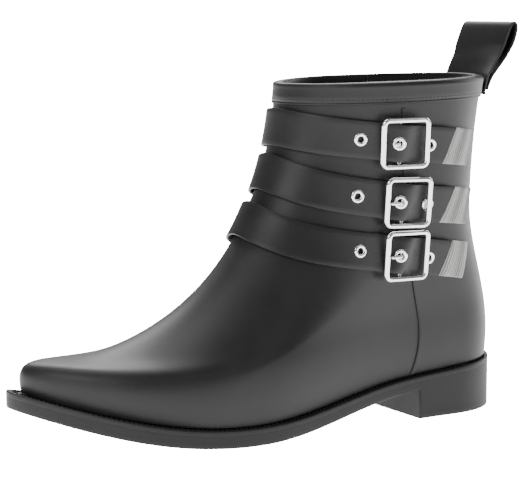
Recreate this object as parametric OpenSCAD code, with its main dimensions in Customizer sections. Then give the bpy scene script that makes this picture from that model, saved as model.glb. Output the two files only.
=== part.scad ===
// Ankle rain boot, left foot: rubber upper on a heeled sole, three buckled straps and a pull loop.
// Toe towards -X, outer (buckle) side towards -Y, heel towards +X, Z up. Millimetres.

/* [Last] */
// Length of the outsole from toe to heel
sole_length = 280; // [260:1:296]
// Width of the level ledge between the sole's edge and the upper
welt_ledge = 4; // [3:0.5:5]
// Thickness of the rubber upper
upper_t = 2.2; // [1.6:0.1:2.4]
// Thickness of the knitted lining
lining_t = 0.9; // [0.6:0.1:1.1]

/* [Sole] */
// Height of the welt strip
welt_h = 3; // [2:0.5:3.5]
// How far the outsole's wall sits inside the welt's edge
wall_step = 0.6; // [0:0.1:1]
// Distance from one tread lug to the next
lug_pitch = 9; // [7:0.5:12]
// Depth of the tread grooves
lug_depth = 2.2; // [1:0.1:3]
// Thickness of the steel shank
shank_t = 1.4; // [1:0.1:2]
// Width of the steel shank
shank_w = 14; // [10:1:18]

/* [Straps] */
// Width of each strap
strap_w = 20; // [16:1:20]
// Thickness of each strap
strap_t = 1.4; // [1:0.1:1.5]
// Air gap under the straps
strap_gap = 1; // [0.9:0.1:1.2]
// Radius of the hole through an eyelet
eyelet_r = 1.6; // [1.3:0.1:1.8]
// Radius of an eyelet's flange
flange_r = 3.6; // [3:0.1:3.8]

/* [Buckles] */
// Length of a buckle frame along the strap
buckle_l = 28.5; // [27:0.5:30]
// Height of a buckle frame across the strap
buckle_h = 27.5; // [27:0.5:28]
// Width of the frame's bars
rail_w = 3; // [2.4:0.1:3.2]
// Thickness of the frame's bars
rail_t = 2.4; // [2:0.1:3]
// Radius of the centre bar
bar_r = 1; // [0.8:0.1:1]
// Running clearance round the centre bar
bar_play = 0.05; // [0.03:0.01:0.08]

/* [Collar and loop] */
// Height of the collar band
band_h = 9.5; // [7:0.5:11]
// Width of the pull loop
loop_w = 39; // [30:1:40]
// Thickness of the pull loop's rubber
loop_t = 1.4; // [1:0.1:1.6]

/* [Hidden] */
$fn = 48;

// Moves the boot so that its box stands centred on the origin.
seat = [-5.32, 1.53, 0];

// ---- The last: sole outline, side profile and sections, for a 280 mm sole ----
// Every list below is a row of control values for the smooth curve of bs().
base_length = 280;
grade = sole_length / base_length;
toe_x = -140;
heel_x = 140;
// Half width and centre line of the sole, from toe to heel
sole_half = [43, 46, 48, 46.5, 39, 32.5, 31, 30.5];
sole_mid = [16, 4, 0, -6.5, -4.5, -1.5, -0.5, 2.5];
toe_round = 76;
toe_power = 1.84;
heel_round = 37;
heel_power = 2.1;
// Height of the welt's top edge and of the sole's underside
feather = [27.8, 16.5, 9.5, 9, 15, 22.5, 25, 29];
tread = [18.5, 6.5, 0, -0.5, 6.5, 15, 17, 14];
// Front and back profile of the upper, from the welt up to the collar
front = [[-133, 26.2], [-134.5, 36.5], [-128.5, 44.3], [-97, 40.5], [-53, 60], [-22, 89],
    [-3, 122], [7, 152], [11.5, 179.5]];
back = [[137.5, 30], [138.5, 42], [138, 55], [135, 70], [129, 88], [123.5, 108],
    [124, 130], [126, 155], [130.5, 182]];
// Roundness of the upper's front and back, half width of the shaft, and the change
// from foot section to shaft section
front_round = [85, 91, 95, 102, 99, 86, 72, 61, 53];
back_round = [27, 29, 31, 33, 36, 40, 46, 53, 63];
front_power = [1.8, 1.9, 1.9, 1.9, 1.95, 2, 2, 2, 2];
shaft_half = [40, 40, 40, 39, 38, 37, 38, 40, 43.5];
shaft_mix = [0, 0, 0.05, 0.15, 0.4, 0.75, 1, 1, 1];
bulge = [0, 1.5, 1, 0, 0, 0, 0, 0, 0];
// Place of the side seams along the boot, from the welt up
seam_x = [75, 80, 78.5, 72, 66, 62, 59];

// ---- Placing values of the fittings ----
heel_breast_x = 78.5;
shaft_rise = 218;          // height gained per unit of u at the collar
strap_line = [
    [0.903, 0.878, 0.852, 0.822],
    [0.803, 0.755, 0.707, 0.657],
    [0.703, 0.645, 0.574, 0.472]
];
strap_line_end = 135;      // angle at which strap_line ends
strap_turn = 15;           // smooths the line where it crosses the instep
strap_end_a = [112.5, 119.5, 125.5];
strap_end_slant = [3, 3, 2];
front_lift = [0.8, 0.8, 1.5];   // how far the straps stand off over the instep
buckle_a = [82.1, 92.6, 101.4];
buckle_turn = [6, 6, 6.5];      // the buckles hang a little out of line with the straps
bar_offset = 2.0;               // the centre bar lies in front of the frame's middle
hump_h = 4.5;
hump_w = 7;
chape_t = 0.6;
chape_l = 9.8;
tail_lift = chape_t + 0.4;
bar_z = strap_gap + chape_t + bar_play + bar_r + 0.05;
rail_z = 5.3;
eyelet_s = [[-20.6, -1.9, 18], [-25.1, -3, 15.4], [-24.9, -2.6, 18.2]];
tab_t = 1.5;
tab_a = [23.5, 23, 14.5];
tab_tuck = 4;
strip_w = 3.5;
strip_t = 0.7;
medial_strip_w = 12;
binding_t = 1;
hide = 0.05;               // fitting gap between glued pieces

// Pull loop: centre line in the boot's long plane, from the collar up, over and back down
loop_y = 2.6;
loop_line = [[131.8, 173], [132.1, 177], [132.6, 181], [133.3, 184.5], [134.6, 188], [136, 193], [138.4, 198],
    [140.2, 203], [142.3, 208], [144, 211.6], [146.6, 212.6], [147.6, 209.5], [146.4, 204], [143.2, 197.5],
    [139.8, 190.5], [136.8, 185], [135, 181.5], [134.1, 178.5], [133.7, 175.5]];
loop_turn = 0.14;          // twist of the loop's top about the vertical, as a slope
loop_parts = [0, 0.165, 0.2, 0.8, 0.84, 1];

// ---- Curves and surfaces ----
// Uniform cubic B-spline through a row of control values; u runs from 0 to 1.
function bs(c, u) =
    let (
        n = len(c) - 1,
        s = min(max(u, 0), 1) * n,
        i = min(floor(s), n - 1),
        f = s - i,
        before = i == 0 ? 2 * c[0] - c[1] : c[i - 1],
        after = i == n - 1 ? 2 * c[n] - c[n - 1] : c[i + 2]
    )
    (pow(1 - f, 3) * before + (3 * pow(f, 3) - 6 * f * f + 4) * c[i]
        + (1 + 3 * f + 3 * f * f - 3 * pow(f, 3)) * c[i + 1] + pow(f, 3) * after) / 6;

// Rounded end of an outline: 0 at the tip, 1 from v = 1 on.
function tip(v, p) = pow(max(1 - pow(1 - min(max(v, 0), 1), p), 0), 1 / p);
function along(x) = (x - toe_x) / (heel_x - toe_x);
function unit(v) = v / norm(v);
function lerp(p, q, t) = p + (q - p) * t;

// Half width of the sole, drawn in by inset.
function sole_reach(x, inset) =
    (bs(sole_half, along(x)) - inset)
    * tip((x - toe_x - inset) / toe_round, toe_power)
    * tip((heel_x - inset - x) / heel_round, heel_power);
function sole_x(a, inset) = toe_x + inset + (heel_x - toe_x - 2 * inset) * (1 - cos(a)) / 2;
// Point on the sole's edge; a runs from the toe (0) along the outer side to the heel (180) and back.
function sole_edge(a, inset, drop) =
    let (x = sole_x(a, inset), side = sin(a) < 0 ? 1 : -1)
    grade * [x, bs(sole_mid, along(x)) + side * sole_reach(x, inset), bs(feather, along(x)) - drop];
// One row of points across the sole, from the inner to the outer side.
function sole_row(x, inset, z, columns) =
    let (m = bs(sole_mid, along(x)), w = sole_reach(x, inset))
    [for (j = [0 : columns - 1]) let (v = 1 - 2 * j / (columns - 1)) grade * [x, m + w * v, z]];

// Point on the outside of the upper: u from the welt (0) to the collar (1), a round the boot.
function ring(u, a) =
    let (
        f = bs(front, u),
        b = bs(back, u),
        c = (1 - cos(a)) / 2,
        x = lerp(f.x, b.x, c),
        sag = bs(feather, along(x)) - lerp(bs(feather, along(f.x)), bs(feather, along(b.x)), c),
        z = lerp(f.y, b.y, c) + sag * pow(1 - u, 2),
        mix = bs(shaft_mix, u),
        foot = bs(sole_half, along(x)) - welt_ledge + bs(bulge, u),
        half = lerp(foot, bs(shaft_half, u), mix),
        w = half * tip((x - f.x) / bs(front_round, u), bs(front_power, u))
            * tip((b.x - x) / bs(back_round, u), heel_power),
        side = sin(a) < 0 ? 1 : -1
    )
    grade * [x, bs(sole_mid, along(x)) * (1 - mix) + side * w, z];
function rise(u, a) = (ring(min(u + 0.01, 1), a) - ring(max(u - 0.01, 0), a))
    / (min(u + 0.01, 1) - max(u - 0.01, 0));
function outward(u, a) = unit(cross(ring(u, a + 3) - ring(u, a - 3), rise(u, a)));
// Point at height h above the upper's outside.
function at(u, a, h) = ring(u, a) + h * outward(u, a);
// Angle at which the upper reaches length x.
function angle_at(u, x) =
    let (f = bs(front, u).x, b = bs(back, u).x)
    acos(min(max(1 - 2 * (x - f) / (b - f), -1), 1));
function seam_a(u) = angle_at(u, bs(seam_x, u));
// Degrees round the boot for a length l measured near the side seams.
function spread(u, l) = l / norm(ring(u, seam_a(u) + 0.5) - ring(u, seam_a(u) - 0.5));

// ---- Solids from point grids ----
// Closed solid between two grids with the same rows and columns. Columns run so that
// column direction x row direction points from inner to outer.
module slab(outer, inner, loop = false) {
    r = len(outer);
    c = len(outer[0]);
    n = r * c;
    w = loop ? c : c - 1;
    skin = [
        for (i = [0 : r - 2]) for (j = [0 : w - 1])
            let (p = i * c + j, q = i * c + (j + 1) % c)
            each [[p, p + c, q + c], [p, q + c, q],
                [n + p, n + q + c, n + p + c], [n + p, n + q, n + q + c]]
    ];
    rims = [
        for (j = [0 : w - 1])
            let (p = j, q = (j + 1) % c, s = (r - 1) * c + j, t = (r - 1) * c + (j + 1) % c)
            each [[p, q, n + q], [p, n + q, n + p], [t, s, n + s], [t, n + s, n + t]]
    ];
    ends = loop ? [] : [
        for (i = [0 : r - 2])
            let (p = i * c, q = i * c + c - 1)
            each [[p + c, p, n + p], [p + c, n + p, n + p + c],
                [q, q + c, n + q + c], [q, n + q + c, n + q]]
    ];
    polyhedron(
        points = [for (g = [outer, inner]) for (row = g) each row],
        faces = concat(skin, rims, ends),
        convexity = 8
    );
}

// Layer of the upper between heights h0 and h1, rows u0 to u1; reach(u) gives its two end angles.
module layer(h0, h1, u0, u1, rows, columns, reach, loop = false) {
    function grid(h) = [
        for (i = [0 : rows - 1])
            let (u = lerp(u0, u1, i / (rows - 1)), e = reach(u))
            [for (j = [0 : columns - 1])
                at(u, lerp(e[0], e[1], j / (loop ? columns : columns - 1)), h)]
    ];
    slab(grid(h1), grid(h0), loop);
}

// Flat layer of the sole between two heights counted down from the welt's top edge.
module sole_layer(inset, top, bottom, a0 = 4, a1 = 176, step = 8, columns = 2) {
    stations = [for (a = [a0 : step : a1]) sole_x(a, inset)];
    slab(
        [for (x = stations) sole_row(x, inset, bs(feather, along(x)) - top, columns)],
        [for (x = stations) sole_row(x, inset, bs(feather, along(x)) - bottom, columns)]
    );
}

// Strip of the sole's middle, from x0 to x1.
module sole_strip(x0, x1, width, top, bottom) {
    steps = 12;
    function row(x, d) = [for (v = [0.5, -0.5])
        grade * [x, bs(sole_mid, along(x)) + v * width, bs(feather, along(x)) - d]];
    stations = [for (i = [0 : steps]) lerp(x0, x1, i / steps)];
    slab([for (x = stations) row(x, top)], [for (x = stations) row(x, bottom)]);
}

// ---- Sole ----
// Stations of the outsole: [x, height of the underside].
function tread_z(x) = x > heel_breast_x ? 0 : max(bs(tread, along(x)), 0);
function lugs(x, count) = [
    for (i = [0 : count - 1])
        let (s = x + i * lug_pitch, land = lug_pitch * 0.52, draft = 0.6)
        each [[s, tread_z(s)], [s + land, tread_z(s + land)],
            [s + land + draft, tread_z(s + land + draft) + lug_depth],
            [s + lug_pitch - draft, tread_z(s + lug_pitch - draft) + lug_depth]]
];
fore_start = toe_x + 8;
fore_lugs = floor((-4 - fore_start) / lug_pitch);
fore_end = fore_start + fore_lugs * lug_pitch;
heel_start = heel_breast_x + 2;
heel_lugs = floor((heel_x - 5 - heel_start) / lug_pitch);
heel_end = heel_start + heel_lugs * lug_pitch;
waist_steps = 9;

module outsole_body() {
    toe = [for (d = [0.9, 1.8, 3.4, 5.6]) [toe_x + d, tread_z(toe_x + d)]];
    waist = [for (i = [0 : waist_steps - 1])
        let (x = lerp(fore_end, heel_breast_x, i / waist_steps)) [x, tread_z(x)]];
    breast = [[heel_breast_x, tread_z(heel_breast_x)]];
    heel = [for (d = [heel_x - heel_end, 3, 1.6, 0.9]) [heel_x - d, 0]];
    stations = concat(toe, lugs(fore_start, fore_lugs), waist, breast,
        lugs(heel_start, heel_lugs), heel);
    slab(
        [for (s = stations) sole_row(s[0], wall_step, bs(feather, along(s[0])) - welt_h, 2)],
        [for (s = stations) sole_row(s[0], wall_step, s[1], 2)]
    );
}

core_x = [92, 126];
core_w = 34;
core_depth = 13;
shank_x = [-12, 84];

module outsole() {
    color("#3b393a")
    difference() {
        outsole_body();
        sole_strip(core_x[0], core_x[1], core_w, welt_h - 2, welt_h + core_depth);
        sole_strip(shank_x[0], shank_x[1], shank_w, welt_h - 2, welt_h + shank_t + hide);
    }
}

module heel_core() {
    color("#b08a5a")
    sole_strip(core_x[0] + hide, core_x[1] - hide, core_w - 2 * hide,
        welt_h + hide, welt_h + core_depth - hide);
}

module shank() {
    color("silver")
    sole_strip(shank_x[0] + hide, shank_x[1] - hide, shank_w - 2 * hide,
        welt_h + hide, welt_h + shank_t);
}

module welt() {
    around = 64;
    color("#454344")
    slab(
        [for (d = [welt_h - 0.02, 0.8, 0.02])
            [for (j = [0 : around - 1]) sole_edge(360 * j / around, d == 0.02 ? 0.6 : 0, d)]],
        [for (d = [welt_h - 0.02, 0.8, 0.02])
            [for (j = [0 : around - 1]) sole_edge(360 * j / around, 9, d)]],
        loop = true
    );
}

module insole_board() {
    color("#a58b66")
    sole_layer(9.9, 0.8, welt_h - 0.3, 16, 176);
}

// Cushioned footbed with a raised rim round the heel.
module footbed() {
    inset = 9.9;
    columns = 7;
    stations = [for (a = [16 : 8 : 176]) sole_x(a, inset)];
    function cup(x, v) = 3.4 + 2.4 * pow(abs(v), 3) * (0.4 + 0.6 * along(x));
    function top(x) = [for (j = [0 : columns - 1])
        let (v = 1 - 2 * j / (columns - 1)) sole_row(x, inset, bs(feather, along(x)) + cup(x, v), columns)[j]];
    color("#4a4a4c")
    slab(
        [for (x = stations) top(x)],
        [for (x = stations) sole_row(x, inset, bs(feather, along(x)) - 0.7, columns)]
    );
}

// ---- Upper ----
module vamp() {
    color("#4a4849")
    layer(-upper_t, 0, 0, 1, 24, 31, function(u) [-seam_a(u), seam_a(u)]);
}

module quarter() {
    color("#444243")
    layer(-upper_t, 0, 0, 1, 24, 15, function(u) [seam_a(u), 360 - seam_a(u)]);
}

module toe_puff() {
    color("#6b6258")
    layer(-upper_t - 0.45, -upper_t - hide, 1 / 23, 7 / 23, 7, 15,
        function(u) [-seam_a(u) * 14 / 30, seam_a(u) * 14 / 30]);
}

module heel_counter() {
    color("#6b6258")
    layer(-upper_t - 0.45, -upper_t - hide, 1 / 23, 8 / 23, 8, 9,
        function(u) [180 - (180 - seam_a(u)) * 8 / 14, 180 + (180 - seam_a(u)) * 8 / 14]);
}

module lining() {
    color("#2a2a2c")
    layer(-upper_t - 0.9 - lining_t, -upper_t - 0.9, 0.03, 0.995, 20, 48, function(u) [0, 360], loop = true);
}

module lateral_seam_strip() {
    color("#4e4c4d")
    layer(0.14, strip_t, 0.012, 0.945, 22, 3,
        function(u) [seam_a(u) - spread(u, strip_w / 2), seam_a(u) + spread(u, strip_w / 2)]);
}

module medial_seam_strip() {
    color("#4e4c4d")
    layer(0.02, strap_gap + strap_t, 0.012, 0.945, 22, 4,
        function(u) [-seam_a(u) - spread(u, medial_strip_w / 2), -seam_a(u) + spread(u, medial_strip_w / 2)]);
}

// Band that wraps the collar's edge, inside and out. Pairs are [height above the upper, drop].
module collar_binding() {
    around = 48;
    lining_in = -upper_t - 0.9 - lining_t - 0.15;
    outer = [[binding_t, band_h], [binding_t, 2], [binding_t + 0.1, 0.6], [0.2, -1.5], [-1.6, -1.9],
        [lining_in, -1.7], [lining_in - 0.85, -0.6], [lining_in - 0.85, 5]];
    inner = [[0.35, band_h], [0.35, 2], [0.35, 0.6], [0.35, -hide], [-1.6, -hide],
        [lining_in + 0.05, -hide], [lining_in, 0.2], [lining_in, 5]];
    function spot(p, a) = at(1 - max(p[1], 0) / shaft_rise, a, p[0]) - [0, 0, min(p[1], 0)];
    function grid(path) = [for (p = path) [for (j = [0 : around - 1]) spot(p, 360 * j / around)]];
    color("#3d3b3c")
    slab(grid(outer), grid(inner), loop = true);
}

// Tape inside the collar behind the loop; its free end stands a little above the rim.
module loop_backing_tape() {
    skin = -upper_t - 0.9 - lining_t - 1.2;
    rows = [14, 7, 0, -1];
    columns = 13;
    function top(a) = a > 212 ? 1.6 : 1;
    function spot(d, a, h) = at(1 - max(d, 0) / shaft_rise, a, h) - [0, 0, min(d, 0) * top(a)];
    function grid(h) = [for (d = rows) [for (j = [0 : columns]) spot(d, lerp(157.5, 255, j / columns), h)]];
    color("#222224")
    slab(grid(skin), grid(skin - 0.7));
}

// ---- Straps ----
function strap_u(i, a) = bs(strap_line[i], (norm([a, strap_turn]) - strap_turn) / strap_line_end);
function strap_mid(i, a) = ring(strap_u(i, a), a);
function strap_dir(i, a) = unit(strap_mid(i, a + 1.5) - strap_mid(i, a - 1.5));
// Row value u at share v (-1 to 1) of the strap's width.
function strap_row(i, a, v) =
    let (u = strap_u(i, a))
    u + v * strap_w / 2 / norm(cross(rise(u, a), strap_dir(i, a)));
// Frame of a fitting on strap i: origin, direction along the strap, up, and outward.
function fitting(i, a) =
    let (t = strap_dir(i, a), b = unit(cross(outward(strap_u(i, a), a), t)))
    [strap_mid(i, a), t, b, cross(t, b)];
function buckle(i) =
    let (f = fitting(i, buckle_a[i]), c = cos(buckle_turn[i]), s = sin(buckle_turn[i]))
    [f[0], c * f[1] + s * f[2], c * f[2] - s * f[1], f[3]];
// Distance along the strap from the buckle's centre bar, towards the heel.
function reach_s(i, a) = (strap_mid(i, a) - buckle(i)[0]) * buckle(i)[1];
// Height of the strap's underside over the upper.
function strap_h(i, a) =
    let (s = abs(a - buckle_a[i]) > 60 ? 60 * sign(a - buckle_a[i]) : reach_s(i, a))
    strap_gap + tail_lift * min(max(s / 6 + 0.5, 0), 1) + (hump_h - tail_lift * min(max(s / 6 + 0.5, 0), 1)
        ) * exp(-pow(s / hump_w, 2)) + front_lift[i] * pow(max(cos(a), 0), 2);
// Angle at which the strap is s away from the centre bar.
function angle_s(i, s, lo = 20, hi = 140, n = 14) =
    let (m = (lo + hi) / 2)
    n == 0 ? m : reach_s(i, m) < s ? angle_s(i, s, m, hi, n - 1) : angle_s(i, s, lo, m, n - 1);
function strap_top(i, a) = at(strap_u(i, a), a, strap_h(i, a) + strap_t);
// Frame of an eyelet: it lies flat on the strap's face.
function eyelet_seat(i, s) =
    let (
        a = angle_s(i, s),
        t = unit(strap_top(i, a + 1.5) - strap_top(i, a - 1.5)),
        b = unit(cross(outward(strap_u(i, a), a), t))
    )
    [strap_top(i, a), t, b, cross(t, b)];

module seated(f)
    multmatrix([
        [f[1].x, f[2].x, f[3].x, f[0].x],
        [f[1].y, f[2].y, f[3].y, f[0].y],
        [f[1].z, f[2].z, f[3].z, f[0].z],
        [0, 0, 0, 1]
    ])
    children();

module wrap_strap(i) {
    columns = 60;
    rows = [-1, 0, 1];
    start = [for (v = rows) let (u = strap_row(i, -seam_a(strap_u(i, -90)), v))
        -seam_a(u) + spread(u, medial_strip_w / 2) + 1.4];
    function spot(j, k, h) =
        let (v = rows[k], a = lerp(start[k], strap_end_a[i] + strap_end_slant[i] * v, j / columns))
        at(strap_row(i, a, v), a, strap_h(i, a) + h);
    function grid(h) = [for (k = [0 : 2]) [for (j = [0 : columns]) spot(j, k, h)]];
    color("#434142")
    difference() {
        slab(grid(strap_t), grid(0));
        for (s = eyelet_s[i])
            seated(eyelet_seat(i, s))
            cylinder(r = eyelet_r + 0.55, h = 3 * strap_t, center = true);
    }
}

module eyelets(i) {
    barrel = eyelet_r + 0.5;
    color("silver")
    for (s = eyelet_s[i])
        seated(eyelet_seat(i, s))
        rotate_extrude()
        polygon([[eyelet_r, -strap_t - 0.35], [barrel + 0.3, -strap_t - 0.35], [barrel + 0.3, -strap_t - 0.12],
            [barrel, -strap_t - 0.12], [barrel, 0.15], [flange_r, 0.1], [flange_r - 0.1, 0.45],
            [flange_r - 0.8, 0.75], [eyelet_r + 0.5, 0.7], [eyelet_r, 0.3]]);
}

// Ribbed elastic between the strap's slanted end and the back of the shaft.
module elastic_tab(i) {
    columns = 8;
    function spot(v, j) =
        let (a = strap_end_a[i] + strap_end_slant[i] * v - tab_tuck + (tab_a[i] + tab_tuck) * j / columns)
        [strap_row(i, a, v * 0.99), a];
    function grid(h) = [for (v = [-1, 0, 1]) [for (j = [0 : columns])
        let (p = spot(v, j)) at(p[0], p[1], h)]];
    color("#a9a9a5")
    slab(grid(0.3 + tab_t), grid(0.3));
}

// ---- Buckles, drawn in the frame of buckle(): x along the strap, y up, z outward ----
module rounded(l, h, r)
    hull()
    for (x = [-1, 1]) for (y = [-1, 1])
        translate([x * (l / 2 - r), y * (h / 2 - r)])
        circle(r = r, $fn = 24);

module buckle_frame(i) {
    post = buckle_h / 2 - rail_w / 2;
    color("#e2e2e4")
    seated(buckle(i)) {
        difference() {
            translate([bar_offset, 0, rail_z])
            linear_extrude(rail_t)
            rounded(buckle_l, buckle_h, 4);
            translate([bar_offset, 0, rail_z - 1])
            linear_extrude(rail_t + 2)
            rounded(buckle_l - 2 * rail_w, buckle_h - 2 * rail_w, 1.6);
        }
        translate([0, 0, bar_z])
        rotate([90, 0, 0])
        cylinder(r = bar_r, h = 2 * post, center = true);
        for (y = [-1, 1])
            translate([-1.6, y * post - 1.2, bar_z - bar_r])
            cube([3.2, 2.4, rail_z - bar_z + bar_r + 0.5]);
    }
}

// Short strap that is folded round the centre bar and bonded to the shaft under the long strap.
module buckle_chape(i) {
    columns = 8;
    a0 = angle_s(i, 6.5);
    a1 = angle_s(i, chape_l + 2);
    function grid(h) = [for (v = [-0.9, 0, 0.9]) [for (j = [0 : columns])
        let (a = lerp(a0, a1, j / columns)) at(strap_row(i, a, v), a, h)]];
    color("#3f3d3e")
    difference() {
        union() {
            seated(buckle(i)) {
                translate([0, 0, bar_z])
                rotate([90, 0, 0])
                cylinder(r = bar_r + bar_play + chape_t, h = strap_w * 0.9, center = true);
                translate([0, -strap_w * 0.45, bar_z - bar_r - bar_play - chape_t])
                cube([7.5, strap_w * 0.9, chape_t]);
            }
            slab(grid(strap_gap + chape_t), grid(strap_gap));
        }
        seated(buckle(i)) {
            translate([0, 0, bar_z])
            rotate([90, 0, 0])
            cylinder(r = bar_r + bar_play, h = 2 * strap_w, center = true);
            translate([-4, -1.7, bar_z - 4])
            cube([8, 3.4, 8]);
        }
    }
}

prong_r = 0.8;
prong_end = [-5.9, -9.9, -9.9];
// Line of the prong: from the bar up through the middle eyelet, then along to the front bar.
function prong_path(i) =
    let (s = eyelet_s[i][1], z = strap_gap + hump_h)
    [[min(s + 1.2, -1.1), z - 1.3], [s + 0.75, z - 0.4], [s - 0.15, z + 1], [s - 1.6, z + 2.9],
        [prong_end[i], rail_z + rail_t + prong_r + 0.05]];
module buckle_prong(i) {
    ring_w = 2.6;
    path = prong_path(i);
    color("#d8d8da")
    seated(buckle(i))
    difference() {
        union() {
            translate([0, 0, bar_z])
            rotate([90, 0, 0])
            cylinder(r = bar_r + bar_play + 0.8, h = ring_w, center = true);
            for (k = [0 : len(path) - 2])
                hull()
                for (p = [path[k], path[k + 1]])
                    translate([p[0], 0, p[1]])
                    sphere(r = prong_r, $fn = 10);
        }
        translate([0, 0, bar_z])
        rotate([90, 0, 0])
        cylinder(r = bar_r + bar_play, h = 2 * ring_w, center = true);
    }
}

// ---- Pull loop ----
// Row of the loop at share t of its line; low down it follows the collar's curve.
function collar_sag(y) =
    let (h = shaft_half[8], p = heel_power)
    back_round[8] * (1 - pow(1 - pow(abs(y) / h, p), 1 / p));
function ramp(v, v0, v1) = min(max((v - v0) / (v1 - v0), 0), 1);
function loop_row(t, h) =
    let (
        c = bs(loop_line, t),
        d = unit(bs(loop_line, min(t + 0.01, 1)) - bs(loop_line, max(t - 0.01, 0))),
        p = c + h * [-d.y, d.x],
        hug = 0.75 - 0.75 * ramp(c.y, 176, 194),
        turn = loop_turn * ramp(c.y, 184, 200)
    )
    [for (j = [0 : 8])
        let (y = loop_y + loop_w * (0.5 - j / 8))
        grade * [p.x - collar_sag(y) * hug - turn * (y - loop_y), y, p.y]];

module loop_part(t0, t1, rows) {
    color("#403e3f")
    slab(
        [for (i = [0 : rows]) loop_row(lerp(t0, t1, i / rows), loop_t / 2)],
        [for (i = [0 : rows]) loop_row(lerp(t0, t1, i / rows), -loop_t / 2)]
    );
}

module place()
    translate(seat)
    children();

place() outsole();
place() heel_core();
place() welt();
place() shank();
place() insole_board();
place() footbed();
place() vamp();
place() quarter();
place() toe_puff();
place() heel_counter();
place() lining();
place() lateral_seam_strip();
place() medial_seam_strip();
place() collar_binding();
place() loop_backing_tape();
place() wrap_strap(0);  // wrap_strap_1
place() wrap_strap(1);  // wrap_strap_2
place() wrap_strap(2);  // wrap_strap_3
place() buckle_chape(0);  // buckle_chape_1
place() buckle_chape(1);  // buckle_chape_2
place() buckle_chape(2);  // buckle_chape_3
place() buckle_frame(0);  // buckle_frame_1
place() buckle_frame(1);  // buckle_frame_2
place() buckle_frame(2);  // buckle_frame_3
place() buckle_prong(0);  // buckle_prong_1
place() buckle_prong(1);  // buckle_prong_2
place() buckle_prong(2);  // buckle_prong_3
place() eyelets(0);  // eyelets_1
place() eyelets(1);  // eyelets_2
place() eyelets(2);  // eyelets_3
place() elastic_tab(0);  // elastic_tab_1
place() elastic_tab(1);  // elastic_tab_2
place() elastic_tab(2);  // elastic_tab_3
place() loop_part(loop_parts[2], loop_parts[3], 26);  // pull_loop
place() loop_part(loop_parts[0], loop_parts[1], 5);  // loop_front_end
place() loop_part(loop_parts[4], loop_parts[5], 4);  // loop_back_end
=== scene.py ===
"""Ankle rain boot, left foot: moulded rubber, three buckled straps with elastic ends, and a pull loop."""
import math

import bmesh
import bpy
import numpy as np
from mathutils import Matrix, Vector


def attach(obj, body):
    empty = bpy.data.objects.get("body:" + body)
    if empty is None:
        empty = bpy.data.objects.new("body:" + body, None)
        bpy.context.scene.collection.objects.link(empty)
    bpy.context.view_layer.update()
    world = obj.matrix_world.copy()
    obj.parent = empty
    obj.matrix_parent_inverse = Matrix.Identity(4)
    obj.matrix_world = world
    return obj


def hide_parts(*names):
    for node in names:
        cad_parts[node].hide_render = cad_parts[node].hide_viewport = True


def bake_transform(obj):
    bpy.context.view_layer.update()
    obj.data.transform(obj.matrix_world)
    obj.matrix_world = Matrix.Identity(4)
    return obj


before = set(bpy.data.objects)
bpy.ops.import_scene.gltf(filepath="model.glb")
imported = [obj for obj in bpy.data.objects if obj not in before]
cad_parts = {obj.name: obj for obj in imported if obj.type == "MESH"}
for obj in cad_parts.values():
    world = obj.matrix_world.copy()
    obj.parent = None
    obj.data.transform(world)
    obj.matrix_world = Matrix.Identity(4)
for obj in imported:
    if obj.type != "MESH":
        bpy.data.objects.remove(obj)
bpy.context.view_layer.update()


# ==== Camera ====
# Stands at the boot's outer side, turned towards the toe, a little above the height of the
# collar, and looks at the middle of the boot through a long lens.
aim = Vector((-0.00682, 0.00153, 0.0945))
turn = math.radians(-29)
tilt = math.radians(7)
distance = 1.075
film_w = 36
lens_mm = 139.6
towards = Vector((math.sin(turn) * math.cos(tilt), -math.cos(turn) * math.cos(tilt), math.sin(tilt)))
camera = bpy.data.objects.new("camera", bpy.data.cameras.new("camera"))
camera.data.sensor_width = film_w
camera.data.lens = lens_mm
camera.location = aim + distance * towards
camera.rotation_mode = "QUATERNION"
camera.rotation_quaternion = (-towards).to_track_quat("-Z", "Y")
bpy.context.scene.collection.objects.link(camera)
bpy.context.scene.camera = camera


# ==== Studio ====
# A white sweep lit by large soft boxes: one in front of the toe, a strong one high behind the
# boot, and weaker ones at the heel, at the side and overhead. The sweep shows as plain white.
def linear(code):
    """An sRGB hex colour as linear red, green, blue and alpha."""
    parts = [int(code[i : i + 2], 16) / 255 for i in (1, 3, 5)]
    return tuple(c / 12.92 if c <= 0.04045 else ((c + 0.055) / 1.055) ** 2.4 for c in parts) + (1.0,)


def add_node(tree, kind, inputs=None, **settings):
    """Adds one node; inputs maps each socket to a value or to another node's output."""
    node = tree.nodes.new(kind)
    for name, value in settings.items():
        setattr(node, name, value)
    for socket, value in (inputs or {}).items():
        if isinstance(value, bpy.types.NodeSocket):
            tree.links.new(value, node.inputs[socket])
        else:
            node.inputs[socket].default_value = value
    return node


sweep_white = linear("#ffffff")
seen_white = 26.0          # brightness of the sweep as the eye sees it
room_light = 0.22          # brightness of the sweep as the boot sees it
floor_bounce = 0.4         # light that the floor gives back to the boot
floor_mirrored = 2.2       # what it adds to that in reflections, so that polished metal looks bright
paper_lit = 1.2            # brightness that the paper already has under the soft boxes
floor_half = 40
floor_z = -0.0002          # a little under the tread, so that no two faces share a plane

world = bpy.data.worlds.new("white_sweep")
world.use_nodes = True
bpy.context.scene.world = world
world.node_tree.nodes.clear()
path = add_node(world.node_tree, "ShaderNodeLightPath")
room = add_node(world.node_tree, "ShaderNodeBackground", {"Color": sweep_white, "Strength": room_light})
seen = add_node(world.node_tree, "ShaderNodeBackground", {"Color": sweep_white, "Strength": seen_white})
both = add_node(world.node_tree, "ShaderNodeMixShader",
                {0: path.outputs["Is Camera Ray"], 1: room.outputs[0], 2: seen.outputs[0]})
add_node(world.node_tree, "ShaderNodeOutputWorld", {"Surface": both.outputs[0]})

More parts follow.
